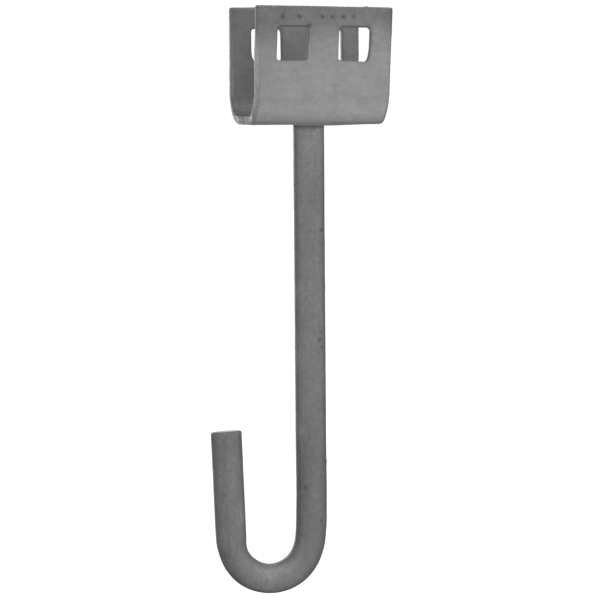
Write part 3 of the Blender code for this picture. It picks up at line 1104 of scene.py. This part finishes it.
def make_weld():
    """Fillet round the bar's stub, laid in overlapping ripples."""
    inner = ROD_RADIUS + JOINT_GAP
    rings = []
    for i in range(WELD_SIDES):
        turn = 2 * pi * i / WELD_SIDES
        phase = (turn / (2 * pi) * WELD_RIPPLES) % 1.0
        leg = WELD_LEG + WELD_RIPPLE_HEIGHT * (sqrt(phase) - 1.5)
        profile = [(inner, JOINT_GAP)]
        bulge = arc((0, 0), leg, 0, 0.5 * pi, WELD_STEPS)
        profile += [(inner + out, JOINT_GAP + up) for out, up in bulge]
        ring = []
        for radius, up in profile:
            x, y = BAR_OFFSET + radius * cos(turn), radius * sin(turn)
            ring.append((x, y, inner_surface_z(y) - web_bow(x, y) + up))
        rings.append(ring)
    weld = new_object("weld_bead_skin", loft(rings, closed_path=True))
    mark_edges(weld)
    return weld


# ================ materials
def node(tree, kind, **inputs):
    """Add a shader node; keyword names are input names with _ for spaces."""
    made = tree.nodes.new(kind)
    for name, value in inputs.items():
        made.inputs[name.replace("_", " ")].default_value = value
    return made


def zinc(name, tone, roughness, streak):
    """Weathered hot-dip zinc: a mottled matt grey with painted highlights on its edges and
    painted shade in its hollows.
    """
    material = bpy.data.materials.new(name)
    material.use_nodes = True
    tree = material.node_tree
    shader = tree.nodes["Principled BSDF"]
    shader.inputs["Metallic"].default_value = METALLIC
    where = tree.nodes.new("ShaderNodeTexCoord").outputs["Object"]

    def pattern(size, detail, low, high):
        """Noise from low to high; size is its patches' size, or one along each axis."""
        sizes = size if isinstance(size, tuple) else (size, size, size)
        stretched = node(tree, "ShaderNodeMapping", Scale=[1 / length for length in sizes])
        tree.links.new(where, stretched.inputs["Vector"])
        made = node(tree, "ShaderNodeTexNoise", Scale=1.0, Detail=detail)
        tree.links.new(stretched.outputs["Vector"], made.inputs["Vector"])
        spread = node(tree, "ShaderNodeMapRange", From_Min=0.3, From_Max=0.7,
                      To_Min=low, To_Max=high)
        tree.links.new(made.outputs["Fac"], spread.inputs["Value"])
        return spread.outputs["Result"]

    def times(a, b):
        made = tree.nodes.new("ShaderNodeMath")
        made.operation = "MULTIPLY"
        tree.links.new(a, made.inputs[0])
        tree.links.new(b, made.inputs[1])
        return made.outputs[0]

    def marked(attribute_name, factor, patches):
        """1 where the attribute is 0, and about factor where it is 1, varying with patches."""
        source = tree.nodes.new("ShaderNodeAttribute")
        source.attribute_name = attribute_name
        spread = node(tree, "ShaderNodeMapRange", To_Min=1.0, To_Max=factor)
        spread.clamp = False
        tree.links.new(times(source.outputs["Fac"], patches), spread.inputs["Value"])
        return spread.outputs["Result"]

    size, detail, stray = TONE_PATCHES
    grey = pattern(size, detail, tone * (1 - stray), tone * (1 + stray))
    for size, detail, stray in MOTTLING + ((streak, DETAIL, STREAK_STRAY),):
        grey = times(grey, pattern(size, detail, 1 - stray, 1 + stray))
    for attribute_name, (factor, size, least, most) in MARKS.items():
        patches = pattern(size, DETAIL, least, most)
        grey = times(grey, marked(attribute_name, factor, patches))
    colour = tree.nodes.new("ShaderNodeCombineColor")
    for channel in ("Red", "Green", "Blue"):
        tree.links.new(grey, colour.inputs[channel])
    tree.links.new(colour.outputs["Color"], shader.inputs["Base Color"])

    size, detail, stray = ROUGHNESS_PATCHES
    tree.links.new(pattern(size, detail, roughness - stray, roughness + stray),
                   shader.inputs["Roughness"])
    bump = node(tree, "ShaderNodeBump", Strength=GRAIN_STRENGTH, Distance=GRAIN_HEIGHT)
    tree.links.new(pattern(GRAIN_SIZE, DETAIL, 0.0, 1.0), bump.inputs["Height"])
    tree.links.new(bump.outputs["Normal"], shader.inputs["Normal"])
    return material


# ================ stage
def make_floor():
    """A plain pale floor well below the hook."""
    z = rod_low.z - FLOOR_DROP
    corners = [(x * FLOOR_HALF, y * FLOOR_HALF, z)
               for x, y in ((-1, -1), (1, -1), (1, 1), (-1, 1))]
    shape = bmesh.new()
    shape.faces.new([shape.verts.new(corner) for corner in corners])
    floor = new_object("floor", shape)
    material = bpy.data.materials.new("pale_floor")
    material.use_nodes = True
    shader = material.node_tree.nodes["Principled BSDF"]
    shader.inputs["Base Color"].default_value = (FLOOR_TONE, FLOOR_TONE, FLOOR_TONE, 1)
    shader.inputs["Roughness"].default_value = FLOOR_ROUGHNESS
    shader.inputs["Emission Color"].default_value = (1, 1, 1, 1)
    shader.inputs["Emission Strength"].default_value = WHITE_OUT
    floor.data.materials.append(material)
    floor.visible_diffuse = False
    floor.visible_glossy = False
    floor.visible_shadow = False


def make_world():
    """White behind the object, and a soft even grey room for everything but the camera."""
    world = bpy.data.worlds.new("studio")
    bpy.context.scene.world = world
    world.use_nodes = True
    tree = world.node_tree
    background = tree.nodes["Background"]
    background.inputs["Color"].default_value = (1, 1, 1, 1)
    seen = tree.nodes.new("ShaderNodeLightPath").outputs["Is Camera Ray"]
    strength = node(tree, "ShaderNodeMapRange", To_Min=ROOM_LIGHT, To_Max=WHITE_OUT)
    tree.links.new(seen, strength.inputs["Value"])
    tree.links.new(strength.outputs["Result"], background.inputs["Strength"])


def make_lights():
    """Square soft boxes, each at a bearing from the front, a height angle and a distance."""
    for name, bearing, rise, distance, size, power in SOFT_BOXES:
        data = bpy.data.lights.new(name, "AREA")
        data.shape = "SQUARE"
        data.size = size
        data.energy = power
        light = bpy.data.objects.new(name, data)
        bpy.context.scene.collection.objects.link(light)
        turn, lift = radians(bearing), radians(rise)
        away = Vector((sin(turn) * cos(lift), -cos(turn) * cos(lift), sin(lift)))
        light.location = Vector((0, 0, LIGHT_TARGET_Z)) + away * distance
        light.rotation_mode = "QUATERNION"
        light.rotation_quaternion = away.to_track_quat("Z", "Y")


def make_camera():
    """The camera stands off to the hook tip's side, level with the bracket."""
    yaw, pan, pitch, roll = CAMERA_YAW, CAMERA_PAN, CAMERA_PITCH, CAMERA_ROLL
    up = Vector((0, 0, 1))
    ahead = Vector((sin(yaw), cos(yaw), 0))
    right = Vector((cos(yaw), -sin(yaw), 0))
    place = -ahead * CAMERA_DISTANCE + up * CAMERA_HEIGHT
    ahead, right = ahead * cos(pan) + right * sin(pan), right * cos(pan) - ahead * sin(pan)
    ahead, up = ahead * cos(pitch) - up * sin(pitch), up * cos(pitch) + ahead * sin(pitch)
    right, up = right * cos(roll) + up * sin(roll), up * cos(roll) - right * sin(roll)
    data = bpy.data.cameras.new("camera")
    data.lens = CAMERA_LENS
    data.sensor_width = SENSOR_WIDTH
    camera = bpy.data.objects.new("camera", data)
    bpy.context.scene.collection.objects.link(camera)
    turn = Matrix((right, up, -ahead)).transposed()
    camera.matrix_world = Matrix.Translation(place) @ turn.to_4x4()
    bpy.context.scene.camera = camera


# ================ assembly
def dress(piece, node_name, material):
    """Give a piece its material and its body, and hide the CAD node it stands in for."""
    piece.data.materials.clear()
    piece.data.materials.append(material)
    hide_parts(node_name)
    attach(piece, "root")


dress(make_bracket(), "channel_bracket", zinc("zinc_plate", *PLATE_ZINC))
dress(make_rod(), "hook_rod", zinc("zinc_bar", *BAR_ZINC))
dress(make_weld(), "weld_bead", zinc("zinc_weld", *WELD_ZINC))
make_floor()
make_world()
make_lights()
make_camera()
bpy.context.scene.view_settings.view_transform = "Standard"
